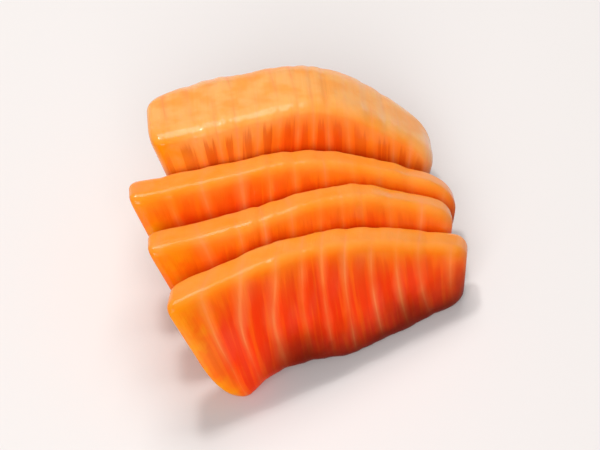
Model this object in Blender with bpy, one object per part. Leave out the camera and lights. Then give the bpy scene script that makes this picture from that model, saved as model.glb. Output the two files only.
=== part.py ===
"""Salmon sashimi: four thick slices cut from one block of salmon, still leaning in the order they were cut.

The rear slice is the end of the block. It is the widest and stands steepest, and the other three lean on it.
Every slice is one closed solid. Metres, +Z up, +X along the slices, +Y from the front slice to the rear one.
"""

from dataclasses import dataclass

import bmesh
import bpy
import numpy as np


@dataclass(frozen=True)
class Slice:
    """One slice: its face is an outline in X and Z, and it has a thickness in Y before it leans and turns."""

    name: str
    foot: tuple  # x and y of its front lower left corner
    turn: float  # degrees about +Z
    lean: float  # degrees from the plate, 90 is upright
    length: float
    heights: tuple  # of the face at the left, at the crown and at the thin end
    crown_at: float  # share of the length
    fall: float  # power of the curve from the crown down to the thin end
    thickness: tuple  # at the left and at the thin end
    bias: float  # how far the back face is shifted towards the thin end
    flake_phase: float
    heel: tuple = (0.0080, 0.0100)  # how far along and up the lower left corner is rounded off
    arch: float = 0.0008  # how far the lower edge is off the plate past the heel
    belly: float = 0.0  # how far the middle of the lower edge comes forward
    under: tuple = (0.45, 0.0050)  # rounding of the lower front edge: share of the thickness, and height
    back_edge: tuple = (0.30, 0.0026)  # the same of the two long edges of the back
    back_ends: tuple = (0.0045, 0.0035, 0.30)  # of the back's upright edges: length at each end, and share
    tip_corners: tuple = (0.0035, 0.0024)  # of the upper and lower edges at the thin end: length and height
    layers: int = 4  # cells of the mesh through the slice


SLICES = (
    Slice(name="slice_front", foot=(0.0, 0.0), turn=7.6, lean=68.0, length=0.0752,
          heights=(0.0326, 0.0334, 0.0143), crown_at=0.21, fall=2.1, thickness=(0.0117, 0.0083),
          bias=0.0075, flake_phase=0.75, heel=(0.0099, 0.0087), arch=0.0036, belly=0.0018,
          under=(0.55, 0.0085)),
    Slice(name="slice_second", foot=(0.0004, 0.0158), turn=2.8, lean=67.0, length=0.0735,
          heights=(0.0348, 0.0320, 0.0157), crown_at=0.46, fall=2.2, thickness=(0.0117, 0.0079),
          bias=0.0046, flake_phase=3.5, belly=0.0010),
    Slice(name="slice_third", foot=(0.0002, 0.0325), turn=-2.8, lean=68.0, length=0.0780,
          heights=(0.0360, 0.0344, 0.0144), crown_at=0.37, fall=1.8, thickness=(0.0117, 0.0076),
          bias=0.0032, flake_phase=1.9, tip_corners=(0.0080, 0.0052)),
    Slice(name="slice_end", foot=(0.0112, 0.0497), turn=-7.2, lean=75.0, length=0.0676,
          heights=(0.0354, 0.0361, 0.0120), crown_at=0.44, fall=2.0, thickness=(0.0298, 0.0214),
          bias=0.0059, flake_phase=5.0, arch=0.0005, under=(0.30, 0.0050), back_edge=(0.36, 0.0044),
          back_ends=(0.0170, 0.0140, 0.44), layers=8),
)

FOOT_SINK = 0.0008  # how far the soft foot is pressed flat on the plate
ARCH_SHARE = 0.5  # of the length that the arch takes
ARCH_START = 0.6  # of the heel's length
TOP_CURL = 0.0014  # how far the top of each slice droops back
FRONT_ENDS = (0.0050, 0.0036, 0.22)  # rounding of the front's upright edges: length at each end, and share
TOP_EDGE = (0.22, 0.0024)  # of the upper front edge: share of the thickness, and height
LEFT_CORNERS = (0.0035, 0.0024)  # of the upper and lower edges at the left end: length and height

# The flesh is in flakes. The lines of fat between them slant a little, and fan out towards both ends.
FLAKES = 10.5  # along a slice
FLAKE_SLANT = (7.0, 4.0)  # degrees towards the thin end, at the left and at that end
END_SLANT = (-17.0, 18.0)  # of the slice's own two ends
END_FAN = (0.024, 0.012)  # the flakes turn from the one slant to the other within this distance
FLAKE_RELIEF = 0.00016
FLAKE_CHANGE = (0.4, 1.9)  # share by which the relief changes from flake to flake, and how fast
FLAKE_WANDER = (0.010, 3)  # share of the length that a line strays from an even spacing, and waves along it
FLAKE_FADE = 0.3  # of half the length, over which the relief fades at each end

COLUMNS, ROWS = 46, 12  # cells of the mesh along and up a slice
CROWDING = 0.6  # 0 spaces the columns evenly and 1 draws them most to the two ends
MOST_ROUNDING = 0.9  # share of half a side that a rounding may take

FLESH_COLOUR = (0.87, 0.16, 0.03, 1.0)
FLESH_ROUGHNESS = 0.35


def cut_cube(columns, rows, layers):
    """A cube from -1 to 1, cut into columns along X, rows up Z and layers along Y, closer near the rims."""
    mesh = bmesh.new()
    bmesh.ops.create_cube(mesh, size=2)
    for axis, pieces in ((0, columns), (2, rows), (1, layers)):
        along = [e for e in mesh.edges if abs(e.verts[0].co[axis] - e.verts[1].co[axis]) > 1]
        bmesh.ops.subdivide_edges(mesh, edges=along, cuts=pieces - 1, use_grid_fill=True)
    for vertex in mesh.verts:
        x, y, z = vertex.co
        crowded = np.sin(np.array([x, y, z]) * np.pi / 2)
        vertex.co = (between((x, crowded[0]), CROWDING), crowded[1], crowded[2])
    return mesh


def smooth(value, low, high):
    """0 below low, 1 above high and a smooth step between them."""
    share = np.clip((value - low) / (high - low), 0, 1)
    return share * share * (3 - 2 * share)


def between(ends, share):
    return ends[0] + (ends[1] - ends[0]) * share


def corner(distance, run, depth):
    """How far an edge stands back at this distance from its corner: a quarter of an ellipse, run by depth."""
    return depth * (1 - np.sqrt(1 - np.clip(1 - distance / run, 0, 1) ** 2))


def top_edge(piece, x):
    """Height of the face's upper edge: up to the crown, then down to the thin end."""
    left, crown, tip = piece.heights
    share = x / piece.length
    before = np.clip(1 - share / piece.crown_at, 0, 1) ** 2
    after = np.clip((share - piece.crown_at) / (1 - piece.crown_at), 0, 1) ** piece.fall
    return crown - (crown - left) * before - (crown - tip) * after


def low_edge(piece, x):
    """Height of the face's lower edge: down the heel, over a low arch, and flat on the plate after it."""
    run, rise = piece.heel
    arch = np.clip((x - run * ARCH_START) / (piece.length * ARCH_SHARE), 0, 1)
    return corner(x, run, rise) + piece.arch * np.sin(np.pi * arch) ** 2


def flake_swell(line):
    """How far the flesh stands out: a ridge for each flake, with the lines of fat at whole numbers."""
    change, pace = FLAKE_CHANGE
    return FLAKE_RELIEF * (1 + change * np.sin(pace * line)) * (abs(np.sin(np.pi * line)) - 0.5)


def section(piece, square, half, swell):
    """Y and Z on the rounded outline of a cut across the slice, for points of the square from -1 to 1."""
    back, top = square[:, 0] > 0, square[:, 1] > 0
    front = np.where(top[:, None], TOP_EDGE, piece.under)
    radii = np.where(back[:, None], piece.back_edge, front)
    radii = np.minimum(radii * np.stack([2 * half[:, 0], np.ones(len(half))], 1), MOST_ROUNDING * half)
    box = square * half
    inner = np.clip(box, radii - half, half - radii)
    outward = (box - inner) / radii
    outward /= np.linalg.norm(outward, axis=1, keepdims=True)
    return inner + outward * (radii + swell[:, None])


def narrowing(piece, x, back, half):
    """Shares of the thickness and of the height that are left at x, where the two ends are rounded."""
    left = x < piece.length / 2
    distance = np.where(left, x, piece.length - x)
    front_run = np.where(left, FRONT_ENDS[0], FRONT_ENDS[1])
    back_run = np.where(left, piece.back_ends[0], piece.back_ends[1])
    run = np.where(back, back_run, front_run)
    depth = np.where(back, piece.back_ends[2], FRONT_ENDS[2]) * 2 * half[:, 0]
    corners = np.where(left, corner(distance, *LEFT_CORNERS), corner(distance, *piece.tip_corners))
    return 1 - np.stack([corner(distance, run, depth), corners], 1) / half


def slice_points(piece, cube):
    """Moves the cut cube's points to the slice's surface, upright and with its front face at y 0."""
    share = (cube[:, 0] + 1) / 2
    inside = smooth(1 - abs(cube[:, 0]), 0, FLAKE_FADE)
    stray, waves = FLAKE_WANDER
    column = share + stray * inside * np.sin(2 * np.pi * waves * share + piece.flake_phase)
    x = column * piece.length
    near_left, near_right = 1 - smooth(x, 0, END_FAN[0]), 1 - smooth(piece.length - x, 0, END_FAN[1])
    slant = between((between(FLAKE_SLANT, column), END_SLANT[0]), near_left)
    slope = np.tan(np.radians(between((slant, END_SLANT[1]), near_right)))
    low, high = low_edge(piece, x), top_edge(piece, x)

    # A point inside an end is on a smaller copy of the section's outline.
    size = abs(cube[:, 1:]).max(1, keepdims=True)
    square = np.divide(cube[:, 1:], size, out=np.ones((len(cube), 2)), where=size > 0)
    half = np.stack([between(piece.thickness, column), high - low], 1) / 2
    outline = section(piece, square, half, inside * flake_swell(share * FLAKES + piece.flake_phase))
    y, z = (outline * size * narrowing(piece, x, cube[:, 1] > 0, half)).T

    height = z + (low + high) / 2
    up = np.clip((height - low) / (high - low), 0, 1)
    forward = piece.belly * np.sin(np.pi * column) ** 2 * (1 - up) ** 2
    curl = TOP_CURL * (height / piece.heights[1]) ** 2
    across = y / piece.thickness[0]
    return np.stack(
        [x + slope * z + piece.bias * across, y + piece.thickness[0] / 2 + curl - forward, height], 1
    )


def stand(piece, local):
    """Leans a slice back about its lower edge, turns it, puts it on its foot and presses the foot flat."""
    lean, turn = np.radians(piece.lean), np.radians(piece.turn)
    back = local[:, 1] * np.sin(lean) + local[:, 2] * np.cos(lean)
    up = local[:, 2] * np.sin(lean) - local[:, 1] * np.cos(lean)
    up = np.maximum(up - up.min() - FOOT_SINK, 0)
    x = local[:, 0] * np.cos(turn) - back * np.sin(turn) + piece.foot[0]
    y = local[:, 0] * np.sin(turn) + back * np.cos(turn) + piece.foot[1]
    return np.stack([x, y, up], 1)


def flesh_material(name):
    """Orange salmon flesh with a wet gloss."""
    material = bpy.data.materials.new(name)
    material.use_nodes = True
    shader = material.node_tree.nodes["Principled BSDF"]
    shader.inputs["Base Color"].default_value = FLESH_COLOUR
    shader.inputs["Roughness"].default_value = FLESH_ROUGHNESS
    shader.inputs["Metallic"].default_value = 0.0
    material.diffuse_color = FLESH_COLOUR
    return material


def make_slice(piece, collection):
    """One slice as a named object, shaped from a cut cube."""
    cut = cut_cube(COLUMNS, ROWS, piece.layers)
    mesh = bpy.data.meshes.new(piece.name)
    cut.to_mesh(mesh)
    cut.free()
    cube = np.empty(len(mesh.vertices) * 3)
    mesh.vertices.foreach_get("co", cube)
    mesh.vertices.foreach_set("co", stand(piece, slice_points(piece, cube.reshape(-1, 3))).ravel())
    mesh.update()
    mesh.shade_smooth()
    mesh.materials.append(flesh_material(piece.name + "_flesh"))
    made = bpy.data.objects.new(piece.name, mesh)
    collection.objects.link(made)
    return made


def centre_on_floor(objects):
    """Places the objects so that the middle of their box's underside is the origin."""
    points = np.array([vertex.co for made in objects for vertex in made.data.vertices])
    low, high = points.min(0), points.max(0)
    for made in objects:
        made.location = (-(low[0] + high[0]) / 2, -(low[1] + high[1]) / 2, -low[2])


def main():
    for old in list(bpy.data.objects):
        bpy.data.objects.remove(old)
    collection = bpy.data.collections.new("salmon_sashimi")
    bpy.context.scene.collection.children.link(collection)
    centre_on_floor([make_slice(piece, collection) for piece in SLICES])


main()
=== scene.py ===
# %% [markdown]
# # Salmon sashimi
# Four thick slices of raw salmon, cut from one block and still leaning on one another in the order they were
# cut. The rear slice is the end of the block, with its layer of pale fat on top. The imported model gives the
# place and the size of every slice, and this file gives each one its real surface: fine relief, lines of fat
# and a wet gloss. A slice is never moved, so the first step is to load the model that everything is built
# around.

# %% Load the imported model
import math
from dataclasses import dataclass
from functools import partial, reduce

import bpy
import numpy as np
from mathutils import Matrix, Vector


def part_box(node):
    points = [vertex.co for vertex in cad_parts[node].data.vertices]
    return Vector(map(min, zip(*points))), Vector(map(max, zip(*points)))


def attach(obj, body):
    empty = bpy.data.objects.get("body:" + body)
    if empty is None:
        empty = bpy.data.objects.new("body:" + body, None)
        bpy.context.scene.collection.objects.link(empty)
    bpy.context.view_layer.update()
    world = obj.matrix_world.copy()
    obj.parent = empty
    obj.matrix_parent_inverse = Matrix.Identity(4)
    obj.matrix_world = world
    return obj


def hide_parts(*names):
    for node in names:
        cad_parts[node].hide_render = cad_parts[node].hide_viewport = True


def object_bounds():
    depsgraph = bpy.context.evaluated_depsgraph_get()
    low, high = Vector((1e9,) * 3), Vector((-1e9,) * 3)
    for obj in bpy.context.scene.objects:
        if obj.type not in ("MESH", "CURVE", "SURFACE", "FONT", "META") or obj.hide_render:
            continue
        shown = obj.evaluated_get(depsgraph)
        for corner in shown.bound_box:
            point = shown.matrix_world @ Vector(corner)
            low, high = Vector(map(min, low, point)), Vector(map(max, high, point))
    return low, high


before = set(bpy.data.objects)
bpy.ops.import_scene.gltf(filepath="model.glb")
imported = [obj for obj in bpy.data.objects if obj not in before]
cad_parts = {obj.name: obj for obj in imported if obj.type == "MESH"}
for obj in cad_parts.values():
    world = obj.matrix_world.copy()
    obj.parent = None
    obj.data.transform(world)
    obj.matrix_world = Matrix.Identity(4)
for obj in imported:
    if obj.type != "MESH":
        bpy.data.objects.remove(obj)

cad_low, cad_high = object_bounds()
MM = 0.001
print("packed model:", ", ".join(f"{side / MM:.1f}" for side in cad_high - cad_low), "mm")

# %% [markdown]
# ## The camera
# Food on a table is looked at from a seat, from about 46 degrees above and a little from the left of the
# row. A short lens close by would swell the front slice, so the camera stands almost a metre away with a long
# lens, which keeps the slices parallel. The direction is worked out from two angles and a distance, so each
# of the three can be changed on its own.

# %% Camera
VIEW_AZIMUTH, VIEW_ELEVATION = math.radians(-22.6), math.radians(46.0)
VIEW_DISTANCE = 0.94
VIEW_LENS = 225
AIM = Vector((0.002, 0.0, 0.012))

back_to_camera = Vector((
    math.sin(VIEW_AZIMUTH) * math.cos(VIEW_ELEVATION),
    -math.cos(VIEW_AZIMUTH) * math.cos(VIEW_ELEVATION),
    math.sin(VIEW_ELEVATION),
))
camera = bpy.data.objects.new("camera", bpy.data.cameras.new("camera"))
camera.data.lens = VIEW_LENS
camera.location = AIM + back_to_camera * VIEW_DISTANCE
camera.rotation_euler = (-back_to_camera).to_track_quat("-Z", "Y").to_euler()
bpy.context.scene.collection.objects.link(camera)
bpy.context.scene.camera = camera
print("the camera looks from", [round(value, 3) for value in camera.location])

# %% [markdown]
# ## Floor and light
# The floor could be a real plate, but a plain pale surface keeps the eye on the fish. It is large enough to
# fill the view from every side. The light is that of a bright room: a soft window high behind the slices, a
# wide lamp from the front left for the cut faces, and a pale sky that fills the shadows. A third lamp is
# small and bright, because only a small one leaves glints on wet edges. The Standard view keeps the strong
# orange that a filmic one would wash out.

# %% Colours as a screen shows them
CURVE_SHIFT, CURVE_POWER = 0.055, 2.4  # of the sRGB standard
LINE_END, LINE_SLOPE = 0.04045, 12.92  # of the short straight line at its dark end


def display(red, green, blue):
    """Linear colour of a display colour from 0 to 255, by the sRGB curve: a short line, and then a power."""
    shares = np.array([red, green, blue]) / 255
    curve = ((shares + CURVE_SHIFT) / (1 + CURVE_SHIFT)) ** CURVE_POWER
    return (*np.where(shares <= LINE_END, shares / LINE_SLOPE, curve).tolist(), 1.0)


FLOOR_COLOUR = display(227, 225, 226)
SKY_COLOUR = display(255, 252, 249)
print("floor", [round(value, 3) for value in FLOOR_COLOUR])

# %% Floor
FLOOR_SIDE = 6.0
FLOOR_ROUGHNESS = 0.55


def matt_material(name, colour, roughness):
    """A plain matt surface."""
    material = bpy.data.materials.new(name)
    material.use_nodes = True
    shader = material.node_tree.nodes["Principled BSDF"]
    shader.inputs["Base Color"].default_value = colour
    shader.inputs["Roughness"].default_value = roughness
    return material


floor_mesh = bpy.data.meshes.new("floor")
corners = [(x * FLOOR_SIDE / 2, y * FLOOR_SIDE / 2, 0) for x, y in ((-1, -1), (1, -1), (1, 1), (-1, 1))]
floor_mesh.from_pydata(corners, [], [(0, 1, 2, 3)])
floor_mesh.materials.append(matt_material("pale_floor", FLOOR_COLOUR, FLOOR_ROUGHNESS))
floor = bpy.data.objects.new("floor", floor_mesh)
bpy.context.scene.collection.objects.link(floor)
print(f"floor {FLOOR_SIDE:.0f} m wide")

# %% Lights
SKY_STRENGTH = 0.25


def soft_lamp(name, place, side, power, colour):
    """A square lamp of that side, in metres, which shines at the slices."""
    lamp = bpy.data.objects.new(name, bpy.data.lights.new(name, "AREA"))
    lamp.data.size = side
    lamp.data.energy = power
    lamp.data.color = colour[:3]
    lamp.location = place
    lamp.rotation_euler = (AIM - lamp.location).to_track_quat("-Z", "Y").to_euler()
    bpy.context.scene.collection.objects.link(lamp)


soft_lamp("window", place=(0.2, 0.6, 1.05), side=0.6, power=6.6, colour=display(255, 250, 244))
soft_lamp("glint", place=(-0.1, 0.5, 1.1), side=0.14, power=3.4, colour=display(255, 252, 248))
soft_lamp("front_fill", place=(-0.55, -0.95, 0.75), side=0.9, power=13.2, colour=display(255, 252, 250))
world = bpy.data.worlds.new("pale_sky")
world.use_nodes = True
world.node_tree.nodes["Background"].inputs["Color"].default_value = SKY_COLOUR
world.node_tree.nodes["Background"].inputs["Strength"].default_value = SKY_STRENGTH
bpy.context.scene.world = world
bpy.context.scene.view_settings.view_transform = "Standard"
print("three lamps and a sky of strength", SKY_STRENGTH)

# %% [markdown]
# ## The slices as numbers
# A salmon block is cut across, so a slice has a flat face at the front and at the back, a rounded top where
# the skin was, a tall end on the side of the fish's back, and a thin end towards the belly. One could sculpt
# four slices by hand. Here each is described by the same few sizes instead, because then one function makes
# all four, and the mesh is as fine as it has to be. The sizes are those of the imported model, in metres and
# degrees.

# %% Sizes of the four slices
@dataclass(frozen=True)
class Slice:
    """One slice: its face is an outline in X and Z, and it has a thickness in Y before it leans and turns."""

    name: str
    foot: tuple  # x and y of its front lower left corner
    turn: float  # degrees about +Z
    lean: float  # degrees from the table, 90 is upright
    length: float
    heights: tuple  # of the face at the left, at the crown and at the thin end
    crown_at: float  # share of the length
    fall: float  # power of the curve from the crown down to the thin end
    thickness: tuple  # at the left and at the thin end
    bias: float  # how far the back face is shifted towards the thin end
    flake_phase: float  # number of the flake at its left end, and phase at which its lines wander
    heel: tuple = (0.0080, 0.0100)  # how far along and up the lower left corner is rounded off
    arch: float = 0.0008  # how far the lower edge is off the table past the heel
    belly: float = 0.0  # how far the middle of the lower edge comes forward
    under: tuple = (0.45, 0.0050)  # rounding of the lower front edge: share of the thickness, and height
    back_edge: tuple = (0.30, 0.0026)  # the same of the two long edges of the back
    back_ends: tuple = (0.0045, 0.0035, 0.30)  # of the back's upright edges: length at each end, and share
    tip_corners: tuple = (0.0035, 0.0024)  # of the upper and lower edges at the thin end: length and height
    flakes: float = 10.5  # along it
    fat: tuple = (5.2, 5.2)  # reach of the fat in millimetres, at the tall end and from the middle on


SLICES = (
    Slice(name="slice_front", foot=(0.0, 0.0), turn=7.6, lean=68.0, length=0.0752,
          heights=(0.0326, 0.0334, 0.0143), crown_at=0.21, fall=2.1, thickness=(0.0117, 0.0083),
          bias=0.0075, flake_phase=0.75, heel=(0.0099, 0.0087), arch=0.0036, belly=0.0018,
          under=(0.55, 0.0085), fat=(4.0, 3.7)),
    Slice(name="slice_second", foot=(0.0004, 0.0158), turn=2.8, lean=67.0, length=0.0735,
          heights=(0.0348, 0.0320, 0.0157), crown_at=0.46, fall=2.2, thickness=(0.0117, 0.0079),
          bias=0.0046, flake_phase=3.5, belly=0.0010),
    Slice(name="slice_third", foot=(0.0002, 0.0325), turn=-2.8, lean=68.0, length=0.0780,
          heights=(0.0360, 0.0344, 0.0144), crown_at=0.37, fall=1.8, thickness=(0.0117, 0.0076),
          bias=0.0032, flake_phase=1.9, tip_corners=(0.0080, 0.0052)),
    Slice(name="slice_end", foot=(0.0112, 0.0497), turn=-7.2, lean=75.0, length=0.0676,
          heights=(0.0354, 0.0361, 0.0120), crown_at=0.44, fall=2.0, thickness=(0.0298, 0.0214),
          bias=0.0059, flake_phase=5.0, arch=0.0005, under=(0.30, 0.0050), back_edge=(0.36, 0.0044),
          back_ends=(0.0170, 0.0140, 0.44), flakes=14.5, fat=(26.0, 9.5)),
)
print(len(SLICES), "slices:", ", ".join(piece.name for piece in SLICES))

# %% [markdown]
# ## The outline of a slice
# Seen from the front, the upper edge of a slice goes from its tall end to a crown, up or down by a few
# millimetres at most, and then falls to the thin end. The lower left corner is rounded off. Both edges are
# formulas of the distance along the slice. Every rounding is a quarter of an ellipse.

# %% Edges of the face
FOOT_SINK = 0.0008  # how far the soft foot is pressed flat on the table
ARCH_SHARE = 0.5  # of the length that the arch takes
ARCH_START = 0.6  # of the heel's length
TOP_CURL = 0.0014  # how far the top of each slice droops back


def smooth(value, low, high):
    """0 below low, 1 above high and a smooth step between them: 3 t squared less 2 t cubed."""
    share = np.clip((value - low) / (high - low), 0, 1)
    return share * share * (3 - 2 * share)


def between(ends, share):
    """The value at that share of the way from the first end to the second."""
    return ends[0] + (ends[1] - ends[0]) * share


def corner(distance, run, depth):
    """How far an edge stands back at this distance from its corner: a quarter of an ellipse, run by depth."""
    return depth * (1 - np.sqrt(1 - np.clip(1 - distance / run, 0, 1) ** 2))


def top_edge(piece, x):
    """Height of the upper edge: a parabola as far as the crown, and a power curve down to the thin end."""
    left, crown, tip = piece.heights
    share = x / piece.length
    before = np.clip(1 - share / piece.crown_at, 0, 1) ** 2
    after = np.clip((share - piece.crown_at) / (1 - piece.crown_at), 0, 1) ** piece.fall
    return crown - (crown - left) * before - (crown - tip) * after


def low_edge(piece, x):
    """Height of the lower edge: an elliptic heel, a squared sine as the low arch, and flat after it."""
    run, rise = piece.heel
    arch = np.clip((x - run * ARCH_START) / (piece.length * ARCH_SHARE), 0, 1)
    return corner(x, run, rise) + piece.arch * np.sin(np.pi * arch) ** 2


for piece in SLICES:
    crown = top_edge(piece, piece.length * piece.crown_at)
    print(f"{piece.name}: {piece.length / MM:.1f} mm long, {crown / MM:.1f} mm high at its crown")

# %% [markdown]
# ## A cut across the slice
# Cut across anywhere, a slice is a rounded rectangle. It is worked out for the whole mesh at once: the arrays
# have one row for each ring of the slice and one entry for each point round it. A square from -1 to 1 is
# stretched to the size of the cut, and a point near a corner is moved onto a quarter of an ellipse.

# %% Rounded section
FRONT_ENDS = (0.0050, 0.0036, 0.22)  # rounding of the front's upright edges: length at each end, and share
UPPER_FRONT = (0.22, 0.0024)  # of the upper front edge: share of the thickness, and height
LEFT_CORNERS = (0.0035, 0.0024)  # of the upper and lower edges at the left end: length and height
MOST_ROUNDING = 0.9  # share of half a side that a rounding may take


def section(piece, square, half, swell):
    """Y and Z on the rounded outline: the nearest point of an inner box, plus an elliptic step outwards.
    The swell lengthens that step, which lays relief on the surface."""
    back, top = square[..., :1] > 0, square[..., 1:] > 0
    front = np.where(top, UPPER_FRONT, piece.under)
    thickness = 2 * half[..., 0]
    radii = np.where(back, piece.back_edge, front) * np.stack([thickness, np.ones_like(thickness)], -1)
    radii = np.minimum(radii, MOST_ROUNDING * half)
    box = square * half
    inner = np.clip(box, radii - half, half - radii)
    outward = (box - inner) / radii
    outward /= np.linalg.norm(outward, axis=-1, keepdims=True)
    return inner + outward * (radii + swell[..., None])


def narrowing(piece, x, back, half):
    """Shares of the thickness and of the height that are left at x, where an ellipse rounds the two ends."""
    left = x < piece.length / 2
    distance = np.where(left, x, piece.length - x)
    front_run = np.where(left, FRONT_ENDS[0], FRONT_ENDS[1])
    back_run = np.where(left, piece.back_ends[0], piece.back_ends[1])
    run = np.where(back, back_run, front_run)
    depth = np.where(back, piece.back_ends[2], FRONT_ENDS[2]) * 2 * half[..., 0]
    corners = np.where(left, corner(distance, *LEFT_CORNERS), corner(distance, *piece.tip_corners))
    return 1 - np.stack([corner(distance, run, depth), corners], -1) / half


# %% [markdown]
# ## Flakes
# Salmon muscle lies in flakes, parted by thin sheets of fat. The knife cuts across them, so the fat shows as
# slanting lines, and the soft flesh stands a little proud between them. The lines could be painted only, but
# then a highlight would run straight over them. So a swell is worked out from the number of the flake: a
# rounded ridge for each flake, uneven from one to the next, and wide soft waves and fine ribs of unlike
# pitches, which never repeat in step. Cut flesh is never quite flat, and the waves are what breaks up its wet
# shine.

# %% Relief of the flakes
FLAKE_SLANT = (7.0, 4.0)  # degrees towards the thin end, at the left and at that end
END_SLANT = (-17.0, 18.0)  # of the slice's own two ends
END_FAN = (0.024, 0.012)  # the flakes turn from the one slant to the other within this distance
FLAKE_RELIEF = 0.00016
FLAKE_CHANGE = (0.4, 1.9)  # share by which the relief changes from flake to flake, and how fast
FLAKE_WANDER = (0.010, 3)  # share of the length that a line strays from an even spacing, and waves along it
FLAKE_FADE = 0.3  # of half the length, over which the relief fades at each end
WAVES = (  # how many to a flake, how many to a centimetre up, and height in metres
    (0.29, -0.6, 90e-6), (0.43, 0.4, 110e-6), (1.21, -0.5, 50e-6), (2.33, 0.4, 20e-6), (3.71, -0.7, 9e-6),
)
CENTIMETRE = 0.01


def flake_swell(line, height):
    """Relief in metres: the size of a sine, which is a ridge for each flake, and sines that twist upwards."""
    change, pace = FLAKE_CHANGE
    ridge = FLAKE_RELIEF * (1 + change * np.sin(pace * line)) * (abs(np.sin(np.pi * line)) - 0.5)
    turns = [(pitch * line + twist * height / CENTIMETRE, size) for pitch, twist, size in WAVES]
    return ridge + sum(size * np.sin(2 * np.pi * turn) for turn, size in turns)


trial_lines = np.linspace(0, 100, 10001)  # a hundred flakes, in steps of a hundredth
trial_swell = flake_swell(trial_lines, 0.0)
print(f"the relief goes from {trial_swell.min() / MM:.2f} to {trial_swell.max() / MM:.2f} mm")

# %% [markdown]
# ## One closed surface
# A slice could start as a cube with its faces cut up, but its corners would then be crowded with odd points.
# Here a closed ring is carried along a path instead: it opens from a point in the middle of the left end,
# runs along the slice, and closes again in the middle of the thin end. The first parameter is the place on
# that path, and the second is the place round the ring. The points crowd towards the edges, where the surface
# bends most.

# %% The two parameters
ALONG = 250  # columns along the slice
END_RINGS = 14  # in each end
SIDE_POINTS = (26, 74)  # round the ring: across the thickness, and up the height
CROWDING = 0.6  # 0 spaces the columns evenly and 1 draws them most to the two ends


def ring_square():
    """Points round the square from -1 to 1: along the foot, up the back, along the top and down the front.
    Each side is spaced by a sine, so that points crowd in its corners."""
    across, up = (np.sin(np.linspace(-1, 1, count + 1)[:-1] * np.pi / 2) for count in SIDE_POINTS)
    foot = np.stack([across, np.full_like(across, -1)], 1)
    rear = np.stack([np.full_like(up, 1), up], 1)
    return np.concatenate([foot, rear, -foot, -rear])


def path():
    """Place from -1 to 1 along the slice, and size of the ring, for each row of the mesh."""
    even = np.linspace(-1, 1, ALONG + 1)
    along = between((even, np.sin(even * np.pi / 2)), CROWDING)
    opening = np.linspace(0, 1, END_RINGS + 1)[1:-1]
    places = np.concatenate([np.full_like(opening, -1), along, np.full_like(opening, 1)])
    return places, np.concatenate([opening, np.ones_like(along), opening[::-1]])


ring = ring_square()
places, sizes = path()
print(len(places), "rings of", len(ring), "points")

# %% [markdown]
# Salmon is fattest under the skin, and the fat thins out downwards: every few millimetres, about a third of
# it is left. How many millimetres differs along the block. The fat is thickest at the end of the block, so it
# reaches deeper in the last slice, and deepest at the tall end of that slice.

# %% Reach of the fat
FAT_CHANGE = (0.28, 0.46)  # share of the length in which the reach at the tall end turns into the other


def fat_reach(piece, share):
    """Depth in millimetres at which about a third of the fat is left: a smooth step along the slice."""
    return between(piece.fat, smooth(share, *FAT_CHANGE))


for piece in SLICES:
    print(f"{piece.name}: the fat reaches {fat_reach(piece, 0.0):.1f} to {fat_reach(piece, 1.0):.1f} mm deep")

# %% [markdown]
# Now the two parameters become points. The place along the slice gives the height, the thickness and the
# slant of a cut, and the place round the ring gives a point of its outline. A slice could be worked out as it
# leans, but its formulas are simpler while it is upright. So it is made upright, and only then leans back and
# turns.

# %% Surface of a slice
def slice_surface(piece, places, sizes, ring):
    """Points of the slice, upright, as an array of rings, and the measures for the flesh colours at each.
    Each ring is the rounded section at its place, made smaller by its size, and slanted along the flakes."""
    share = (places[:, None] + 1) / 2 * np.ones(len(ring))
    inside = smooth(1 - abs(places[:, None]), 0, FLAKE_FADE)
    stray, count = FLAKE_WANDER
    column = share + stray * inside * np.sin(2 * np.pi * count * share + piece.flake_phase)
    x = column * piece.length
    near_left = 1 - smooth(x, 0, END_FAN[0])
    near_right = 1 - smooth(piece.length - x, 0, END_FAN[1])
    slant = between((between(FLAKE_SLANT, column), END_SLANT[0]), near_left)
    slope = np.tan(np.radians(between((slant, END_SLANT[1]), near_right)))
    low, high = low_edge(piece, x), top_edge(piece, x)

    square = np.broadcast_to(ring, (*x.shape, 2))
    half = np.stack([between(piece.thickness, column), high - low], -1) / 2
    line = share * piece.flakes + piece.flake_phase
    swell = inside * flake_swell(line, square[..., 1] * half[..., 1])
    outline = section(piece, square, half, swell) * sizes[:, None, None]
    y, z = np.moveaxis(outline * narrowing(piece, x, square[..., 0] > 0, half), -1, 0)

    height = z + (low + high) / 2
    up = np.clip((height - low) / (high - low), 0, 1)
    forward = piece.belly * np.sin(np.pi * column) ** 2 * (1 - up) ** 2
    curl = TOP_CURL * (height / piece.heights[1]) ** 2
    across = y / piece.thickness[0]
    along = x + slope * z + piece.bias * across
    depth = y + piece.thickness[0] / 2 + curl - forward
    measures = {
        "line": line,
        "below": (high - height) / MM,
        "above": (height - low) / MM,
        "from_left": x / MM,
        "across": across,
        "fat": fat_reach(piece, share),
    }
    return np.stack([along, depth, height], -1), measures


def stand(piece, upright):
    """Leans a slice back about its lower edge, turns it, puts it on its foot and presses the foot flat."""
    lean, turn = math.radians(piece.lean), math.radians(piece.turn)
    along, depth, height = np.moveaxis(upright, -1, 0)
    back = depth * math.sin(lean) + height * math.cos(lean)
    up = height * math.sin(lean) - depth * math.cos(lean)
    up = np.maximum(up - up.min() - FOOT_SINK, 0)
    x = along * math.cos(turn) - back * math.sin(turn) + piece.foot[0]
    y = along * math.sin(turn) + back * math.cos(turn) + piece.foot[1]
    return np.stack([x, y, up], -1)


surfaces = {piece.name: slice_surface(piece, places, sizes, ring) for piece in SLICES}
standing = {piece.name: stand(piece, surfaces[piece.name][0]) for piece in SLICES}
print("each slice carries", ", ".join(surfaces["slice_front"][1]))

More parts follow.
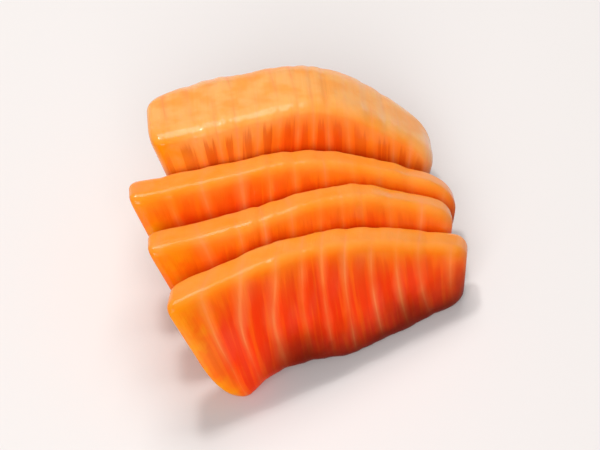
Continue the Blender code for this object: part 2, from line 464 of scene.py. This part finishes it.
# %% [markdown]
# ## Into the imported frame
# The feet are given from the front slice's corner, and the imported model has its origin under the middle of
# the whole. So all four surfaces move together until the middle of their box is over the middle of the packed
# box and they stand on the table.

# %% Place all four
def box_of(points):
    """The lowest and the highest corner of the box round the points."""
    return np.array([points.min((0, 1)), points.max((0, 1))])


box = box_of(np.concatenate(list(standing.values())))
shift = (np.array(cad_low) + np.array(cad_high)) / 2 - box.mean(0)
shift[2] = -box[0, 2]
standing = {name: points + shift for name, points in standing.items()}
for name, points in standing.items():
    off = abs(box_of(points) - np.array(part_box(name))).max()
    print(f"{name}: its box is within {off / MM:.2f} mm of the packed one")

# %% [markdown]
# ## The flesh
# Raw salmon is a soft, wet, slightly see-through orange. Under the skin lies pale fat, which turns through
# orange into the red of the muscle over a few millimetres. The tall end is an outer side too, and more
# yellow. Light goes a few millimetres into the flesh, so the shader scatters it below the surface. A picture
# could carry the colours, but then they would end at the picture's edge and its pixels. Here the surface
# itself carries a few measures, such as the distance below the upper edge and the number of the flake, and
# nodes turn them into colour.

# %% Node helpers
def set_inputs(tree, node, inputs):
    """Sets inputs of a node by name or number. Each is given as a socket to link, or as a value."""
    for key, value in inputs.items():
        if isinstance(value, bpy.types.NodeSocket):
            tree.links.new(value, node.inputs[key])
        else:
            node.inputs[key].default_value = value


def add_node(tree, kind, inputs, **settings):
    """A new node of that kind, with its inputs and its settings."""
    node = tree.nodes.new(kind)
    for name, value in settings.items():
        setattr(node, name, value)
    set_inputs(tree, node, inputs)
    return node


# %% [markdown]
# Two things come back in every part of the flesh, so both get a short form. A step goes smoothly from one
# value to another. It is given by four numbers: where it starts, where it ends, and its value before and
# after, which are 0 and 1 where they aren't given. Clouds are noise that a step spreads out. Nothing in flesh
# is even, and clouds are what makes a border, a line or a gloss change from place to place.

# %% Clouds, and the nodes of one flesh
@dataclass(frozen=True)
class Clouds:
    """Noise that goes smoothly from one value to another."""

    size: float  # about how wide a cloud is, in metres
    values: tuple  # between the clouds, and in them
    edge: tuple = (0.25, 0.75)  # noise at which a cloud begins and is full: the closer, the harder its edge
    detail: float = 2.0  # how many finer noises are laid over the first


class Flesh:
    """The node tree of one material, with short words for the nodes that the flesh needs."""

    def __init__(self, name):
        self.material = bpy.data.materials.new(name)
        self.material.use_nodes = True
        self.tree = self.material.node_tree
        self.shader = self.tree.nodes["Principled BSDF"]
        self.place = add_node(self.tree, "ShaderNodeTexCoord", {}).outputs["Object"]

    def measure(self, name):
        """One of the measures that the surface carries."""
        return add_node(self.tree, "ShaderNodeAttribute", {}, attribute_name=name).outputs["Fac"]

    def math(self, operation, first, second=0.0):
        """The result of that operation on one value, or on two."""
        return add_node(self.tree, "ShaderNodeMath", {0: first, 1: second}, operation=operation).outputs[0]

    def product(self, *values):
        """All the values multiplied."""
        return reduce(partial(self.math, "MULTIPLY"), values)

    def total(self, *values):
        """All the values added."""
        return reduce(partial(self.math, "ADD"), values)

    def step(self, value, low, high, to_low=0.0, to_high=1.0):
        """A smooth step from to_low to to_high, as the value goes from low to high."""
        inputs = {"Value": value, 1: low, 2: high, 3: to_low, 4: to_high}
        return add_node(self.tree, "ShaderNodeMapRange", inputs, interpolation_type="SMOOTHSTEP").outputs[0]

    def noise(self, size, detail=2.0, place=None):
        """Noise about that size across, in metres, with a mean of a half."""
        inputs = {"Vector": place or self.place, "Scale": 0.5 / size, "Detail": detail}
        return add_node(self.tree, "ShaderNodeTexNoise", inputs).outputs["Fac"]

    def clouds(self, clouds):
        """The noise of those clouds, spread out by a smooth step from their first value to their second."""
        return self.step(self.noise(clouds.size, clouds.detail), *clouds.edge, *clouds.values)

    def mix(self, share, first, second, blend="MIX"):
        """The first colour, going to its blend with the second as the share goes to 1."""
        inputs = {0: share, 6: first, 7: second}
        return add_node(self.tree, "ShaderNodeMix", inputs, data_type="RGBA", blend_type=blend).outputs[2]


# %% [markdown]
# A few colours are enough, each named for the tissue that has it, and one for the shade painted along the
# lower edge. They could be written as linear numbers, but numbers from 0 to 255 are easier to compare with
# what a screen shows. Dark muscle has no colour of its own: it is what remains of the colour under it.

# %% Colours of the flesh
RED = display(250, 57, 5)
AMBER = display(252, 145, 14)
YELLOW_END = display(243, 146, 6)
LINE_FAT = display(255, 150, 84)
# painted shade: the dark brown-red where the lower edge curves under towards the table
PAINTED_UNDER_SHADE = display(94, 15, 0)
DARK_MUSCLE = (0.74, 0.52, 0.42, 1.0)  # what a darker stripe of muscle leaves of each colour
SLICE_FAT = display(255, 155, 66)
END_FAT = display(255, 179, 102)
print("red of the muscle", [round(value, 3) for value in RED])

# %% [markdown]
# The fat thins out with depth, so its colour is mixed in by an exponential: red muscle, then amber where some
# fat is left, and the pale fat itself near the top, with amber blotches. Clouds change the reach of the fat
# from place to place, and it reaches a little deeper along the lines.

# %% From the fat down to the red
UNEVEN_REACH = Clouds(size=0.006, values=(0.7, 1.35), detail=3.0)  # times the reach of the fat
REACH_BY_LINE = (0.0, 0.25, 1.35, 1.0)  # the same, by the distance from a line in flakes
PALE_FALL = 4.5  # how many times as fast as the fat its palest part thins out
AMBER_BLOTCHES = Clouds(size=0.0035, values=(0.0, 0.5), edge=(0.4, 0.68), detail=3.0)  # share of amber


def fat_layers(flesh, fat_colour, to_line):
    """Red that turns amber and then pale upwards: shares of e to the power of minus depth over reach."""
    near_line = flesh.step(to_line, *REACH_BY_LINE)
    reach = flesh.product(flesh.measure("fat"), flesh.clouds(UNEVEN_REACH), near_line)
    depth = flesh.math("DIVIDE", flesh.math("MAXIMUM", flesh.measure("below"), 0.0), reach)
    some_fat = flesh.math("EXPONENT", flesh.product(depth, -1.0))
    mostly_fat = flesh.math("EXPONENT", flesh.product(depth, -PALE_FALL))
    blotched = flesh.mix(flesh.clouds(AMBER_BLOTCHES), fat_colour, AMBER)
    return flesh.mix(mostly_fat, flesh.mix(some_fat, RED, AMBER), blotched)


# %% [markdown]
# Muscle is made of bundles, and a bundle shows on the cut face as a paler or darker streak along the lines.
# Noise is round, so it is read in a squeezed space: across the streaks the number of the flake, enlarged, and
# along them the height, made small.

# %% Streaks
STREAK = 0.5  # width of a streak in the squeezed space, where a pale and a dark one make 1


def streaks(flesh, to_a_flake, to_a_centimetre):
    """Noise with that many pairs of streaks to a flake, and that many to a centimetre along them."""
    across = flesh.product(flesh.measure("line"), to_a_flake)
    along = flesh.product(flesh.measure("above"), to_a_centimetre * MM / CENTIMETRE)
    place = add_node(flesh.tree, "ShaderNodeCombineXYZ", {0: across, 1: along, 2: flesh.measure("across")})
    return flesh.noise(STREAK, place=place.outputs[0])


# %% [markdown]
# Midway between two lines the muscle is darkest, and most of all where much fat lies round it, at the tall
# end of the last slice. Such a stripe has no clean border, so the bundles fray its sides and its upper end.

# %% Paler bundles and darker stripes
BUNDLES = (5.0, 0.5)  # pairs to a flake, and to a centimetre along them
PALER_BUNDLE = (0.45, 0.75, 0.0, 0.22)  # share of amber, by the noise of the bundles
FRAY = (0.3, 0.7, 1.0, -1.0)  # which way a border shifts, by the same noise
SIDE_FRAY, END_FRAY = 0.12, 1.5  # how far a side shifts, in flakes, and an end, in millimetres
STRIPE_SIDE = (0.22, 0.36)  # step into a stripe, by the distance from a line in flakes
STRIPE_END = (3.0, 6.0)  # the same, by the millimetres below the upper edge
STRIPE_SHARE = (6.0, 15.0, 0.3, 0.85)  # how dark a stripe is, by the reach of the fat in millimetres


def streaked(flesh, colour, to_line):
    """The colour with paler bundles, and with stripes of darker muscle midway between the lines."""
    bundles = streaks(flesh, *BUNDLES)
    colour = flesh.mix(flesh.step(bundles, *PALER_BUNDLE), colour, AMBER)
    fray = flesh.step(bundles, *FRAY)
    side = flesh.step(flesh.total(to_line, flesh.product(fray, SIDE_FRAY)), *STRIPE_SIDE)
    end = flesh.step(flesh.total(flesh.measure("below"), flesh.product(fray, END_FRAY)), *STRIPE_END)
    stripe = flesh.product(side, end, flesh.step(flesh.measure("fat"), *STRIPE_SHARE))
    return flesh.mix(stripe, colour, DARK_MUSCLE, blend="MULTIPLY")


# %% [markdown]
# A line of fat is a thin pale core in a wide faint glow, because the fat goes on below the wet surface.
# Clouds bend it, thin it and let it come and go, because no line is equally clear along its whole length.

# %% Lines of fat
LINE_BEND = Clouds(size=0.024, values=(-0.35, 0.35), detail=1.0)  # how many flakes a line is shifted
LINE_THINNING = Clouds(size=0.006, values=(0.7, 1.8), edge=(0.3, 0.7))  # how many times as thin it is
LINE_CLEARNESS = Clouds(size=0.008, values=(0.08, 0.68), edge=(0.36, 0.64))  # times its share of fat
LINE_GLOW = (0.0, 0.30, 0.55, 0.0)  # share of fat, by the distance from the line in flakes
LINE_CORE = (0.0, 0.13, 1.0, 0.0)  # the same
HALF_A_FLAKE = 0.5


def distance_to_line(flesh):
    """How far the nearest line is, in flakes: the number of the flake, bent, and folded at each half."""
    return flesh.math("PINGPONG", flesh.total(flesh.measure("line"), flesh.clouds(LINE_BEND)), HALF_A_FLAKE)


def with_lines(flesh, colour, to_line):
    """The colour with its lines of fat, and how much of a line each point has, from 0 to 1."""
    away = flesh.product(to_line, flesh.clouds(LINE_THINNING))
    fat = flesh.math("MAXIMUM", flesh.step(away, *LINE_GLOW), flesh.step(away, *LINE_CORE))
    near = flesh.product(fat, flesh.clouds(LINE_CLEARNESS))
    return flesh.mix(near, colour, LINE_FAT), near


# %% [markdown]
# The tall end is more yellow, in blotches. Along the lower edge, where the slice curves under towards the
# table, shade is painted as a dark brown-red. It is laid over the lines, so it dulls them too. It starts past
# the heel, and clouds keep both borders uneven.

# %% Yellow end and painted shade of the lower edge
UNEVEN_BORDER = Clouds(size=0.005, values=(-1.0, 1.0), detail=3.0)
LEFT_SHIFT, EDGE_SHIFT = 2.0, 1.5  # by how many millimetres it shifts a border sideways, and upwards
YELLOW_ALONG = (3.0, 12.0, 1.0, 0.0)  # share of yellow, by the millimetres from the tall end
YELLOW_DOWN = (0.0, 2.5)  # the same, by those below the upper edge
YELLOW_BLOTCHES = Clouds(size=0.0035, values=(0.4, 1.0), edge=(0.38, 0.62), detail=3.0)
# how strong the painted shade along the lower edge is, by height and by distance from the tall end
UNDER_SHADE_UP = (1.0, 13.5, 0.94, 0.0)  # share of brown, by the millimetres above the lower edge
UNDER_SHADE_ALONG = (10.0, 28.0)  # the same, by those from the tall end


def with_edges(flesh, colour):
    """The colour with the yellow of the tall end and the shade painted along the lower edge."""
    uneven = flesh.clouds(UNEVEN_BORDER)
    left = flesh.total(flesh.measure("from_left"), flesh.product(uneven, LEFT_SHIFT))
    above = flesh.total(flesh.measure("above"), flesh.product(uneven, EDGE_SHIFT))
    yellow = flesh.product(flesh.step(left, *YELLOW_ALONG), flesh.step(flesh.measure("below"), *YELLOW_DOWN))
    colour = flesh.mix(flesh.product(yellow, flesh.clouds(YELLOW_BLOTCHES)), colour, YELLOW_END)
    # painted shade along the lower edge, strongest at the bottom and fading upwards
    painted_shade = flesh.product(flesh.step(above, *UNDER_SHADE_UP), flesh.step(left, *UNDER_SHADE_ALONG))
    return flesh.mix(painted_shade, colour, PAINTED_UNDER_SHADE)


# %% [markdown]
# Cut flesh also has fibres, pores and shallow dents. They could be carved into the mesh, but fibres and pores
# are so fine that this would take millions of points. So all three only turn the light, as if together they
# lifted the surface by up to a tenth of a millimetre, and the lines of fat seem to lie a little lower.

# %% Fine relief
FIBRES = (13.0, 1.5)  # pairs to a flake, and to a centimetre along them
PORE_SIZE, DENT_SIZE = 0.0009, 0.003
FIBRE_LIFT, PORE_LIFT, DENT_LIFT, LINE_LIFT = 0.4, 0.4, 1.6, -0.3  # weights in the sum
WHOLE_LIFT = {"Strength": 0.5, "Distance": 0.0003}  # a sum of 1 is 0.3 mm, at half strength


def fine_relief(flesh, near_line):
    """The direction that the surface seems to face after a lift, which is a weighted sum of four patterns."""
    lift = flesh.total(
        flesh.product(streaks(flesh, *FIBRES), FIBRE_LIFT),
        flesh.product(flesh.noise(PORE_SIZE), PORE_LIFT),
        flesh.product(flesh.noise(DENT_SIZE), DENT_LIFT),
        flesh.product(near_line, LINE_LIFT),
    )
    return add_node(flesh.tree, "ShaderNodeBump", {"Height": lift, **WHOLE_LIFT}).outputs["Normal"]


# %% [markdown]
# The wet surface is one more layer over the colour: a thin clear coat, almost as smooth as water. It lies in
# patches, with least of it along the lower edge. The flesh under it is rougher, and it lets light in, red
# deepest.

# %% Wet surface
FLESH_ROUGHNESS = Clouds(size=0.004, values=(0.28, 0.45), edge=(0.3, 0.7))
WET_PATCHES = Clouds(size=0.006, values=(0.4, 1.0), edge=(0.35, 0.65))  # share of the coat
WET_UP = (3.0, 16.0, 0.12, 1.0)  # the same, by the millimetres above the lower edge
EVEN_FINISH = {
    "Specular IOR Level": 0.03,
    "Coat Roughness": 0.12,
    "Coat IOR": 1.33,  # that of water
    "Subsurface Weight": 0.3,
    "Subsurface Radius": (1.0, 0.3, 0.1),  # of red, green and blue light, as shares of the scale
    "Subsurface Scale": 0.002,
}


def wet_flesh(name, fat_colour):
    """Raw salmon with its colours, its fine relief and a wet gloss."""
    flesh = Flesh(name)
    to_line = distance_to_line(flesh)
    colour = streaked(flesh, fat_layers(flesh, fat_colour, to_line), to_line)
    colour, near_line = with_lines(flesh, colour, to_line)
    set_inputs(flesh.tree, flesh.shader, {
        "Base Color": with_edges(flesh, colour),
        "Normal": fine_relief(flesh, near_line),
        "Roughness": flesh.clouds(FLESH_ROUGHNESS),
        "Coat Weight": flesh.product(flesh.clouds(WET_PATCHES), flesh.step(flesh.measure("above"), *WET_UP)),
        **EVEN_FINISH,
    })
    return flesh.material


# %% [markdown]
# ## Making the pieces
# Each surface becomes one mesh. The rings are joined by four-sided faces, and the two openings that are left
# are closed by triangles to one middle point, so there is no seam and no hole. The piece then stands for its
# packed slice and rides on the same body.

# %% Mesh from rings
def closed_mesh(name, rings, measures):
    """A mesh of rings in order, closed at both ends by a middle point, that carries the measures."""
    rows, count = rings.shape[:2]
    points = np.concatenate([rings.reshape(-1, 3), rings[[0, -1]].mean(1)])
    near = np.arange(count)
    far = (near + 1) % count
    first = np.arange(rows - 1)[:, None] * count
    second = first + count
    quads = np.stack([first + near, first + far, second + far, second + near], -1).reshape(-1, 4)
    left_middle, right_middle, last = rows * count, rows * count + 1, (rows - 1) * count
    left_end = np.stack([np.full(count, left_middle), far, near], 1)
    right_end = np.stack([np.full(count, right_middle), last + near, last + far], 1)
    mesh = bpy.data.meshes.new(name)
    mesh.from_pydata(points, [], [*quads.tolist(), *left_end.tolist(), *right_end.tolist()])
    mesh.shade_smooth()
    for measure, values in measures.items():
        middles = values[[0, -1]].mean(1)
        layer = mesh.attributes.new(measure, "FLOAT", "POINT")
        layer.data.foreach_set("value", np.concatenate([values.ravel(), middles]).astype(np.float32))
    return mesh


# %% The four slices
for piece in SLICES:
    mesh = closed_mesh(piece.name + "_surface", standing[piece.name], surfaces[piece.name][1])
    mesh.materials.append(wet_flesh(piece.name + "_wet_flesh", END_FAT if piece is SLICES[-1] else SLICE_FAT))
    made = bpy.data.objects.new(piece.name + "_surface", mesh)
    bpy.context.scene.collection.objects.link(made)
    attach(made, "root")
    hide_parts(piece.name)
    print(f"{made.name}: {sum(len(face.vertices) - 2 for face in mesh.polygons)} triangles")
